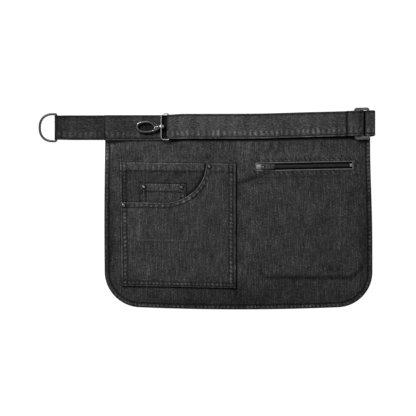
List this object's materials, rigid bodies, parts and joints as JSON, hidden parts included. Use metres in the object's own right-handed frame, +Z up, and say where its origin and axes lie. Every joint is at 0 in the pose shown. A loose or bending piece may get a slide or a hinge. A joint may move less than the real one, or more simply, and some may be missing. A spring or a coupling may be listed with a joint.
{
  "type": "waist apron",
  "caption": "Denim waist apron lying flat, with a patch pocket, a zipped pocket and a buckled belt strap that clips to a D-ring by a swivel hook.",
  "frame": {"origin": "middle of the footprint's box, on the surface that the apron lies on", "axes": "+X along the waistband from the D-ring towards the buckle, +Y from the hem to the waist, +Z up out of the apron's front"},
  "size_m": [0.673, 0.404, 0.0158],
  "materials": {
    "denim": "washed black denim, matt twill with paler worn streaks",
    "denim_band": "washed black denim with the grain along the band, matt",
    "pocketing": "plain black cotton, matt",
    "zip_black": "black woven tape and moulded teeth, semi-matt",
    "gunmetal": "dark gunmetal plating, satin",
    "buckle_steel": "grey nickel plating, satin"
  },
  "bodies": {
    "apron": {"apron_panel": "denim", "pocket_yoke": "denim", "coin_pocket": "denim", "pocket_front": "denim", "waistband": "denim_band", "left_strap": "denim_band", "belt_strap": "denim_band", "zip_pocket_bag": "pocketing", "zip_tape_upper": "zip_black", "zip_tape_lower": "zip_black", "zip_chain": "zip_black", "zip_end_stop": "gunmetal", "rivet_coin_left": "gunmetal", "rivet_coin_right": "gunmetal", "rivet_scoop_left": "gunmetal", "rivet_scoop_top": "gunmetal", "belt_buckle": "buckle_steel"},
    "zip_slider": {"zip_slider": "gunmetal"},
    "zip_pull": {"zip_pull": "gunmetal"},
    "d_ring": {"d_ring": "gunmetal"},
    "swivel_eye": {"swivel_eye": "gunmetal"},
    "snap_hook": {"snap_hook": "gunmetal"},
    "hook_gate": {"hook_gate": "gunmetal"}
  },
  "joints": [
    {"name": "zip_run", "type": "slide", "parent": "apron", "child": "zip_slider", "axis": [0.9998, 0.0201, 0], "range_m": [0, 0.172]},
    {"name": "pull_flip", "type": "hinge", "parent": "zip_slider", "child": "zip_pull", "pos_m": [0.10864, 0.08333, 0.0065], "axis": [0.0201, -0.9998, 0], "range_deg": [0, 180]},
    {"name": "ring_swing", "type": "hinge", "parent": "apron", "child": "d_ring", "pos_m": [-0.30103, 0.16197, 0.0037], "axis": [0, 1, 0], "range_deg": [0, 165]},
    {"name": "eye_lift", "type": "hinge", "parent": "apron", "child": "swivel_eye", "pos_m": [-0.07663, 0.16347, 0.0092], "axis": [0, 1, 0], "range_deg": [0, 120]},
    {"name": "hook_swivel", "type": "hinge", "parent": "swivel_eye", "child": "snap_hook", "pos_m": [-0.09383, 0.16347, 0.0092], "axis": [1, 0, 0], "range_deg": [-8, 8]},
    {"name": "gate_open", "type": "hinge", "parent": "snap_hook", "child": "hook_gate", "pos_m": [-0.10199, 0.16128, 0.0092], "axis": [0, 0, 1], "range_deg": [0, 28], "stiffness_Nm_per_rad": 0.03, "springref_deg": -20.05}
  ]
}
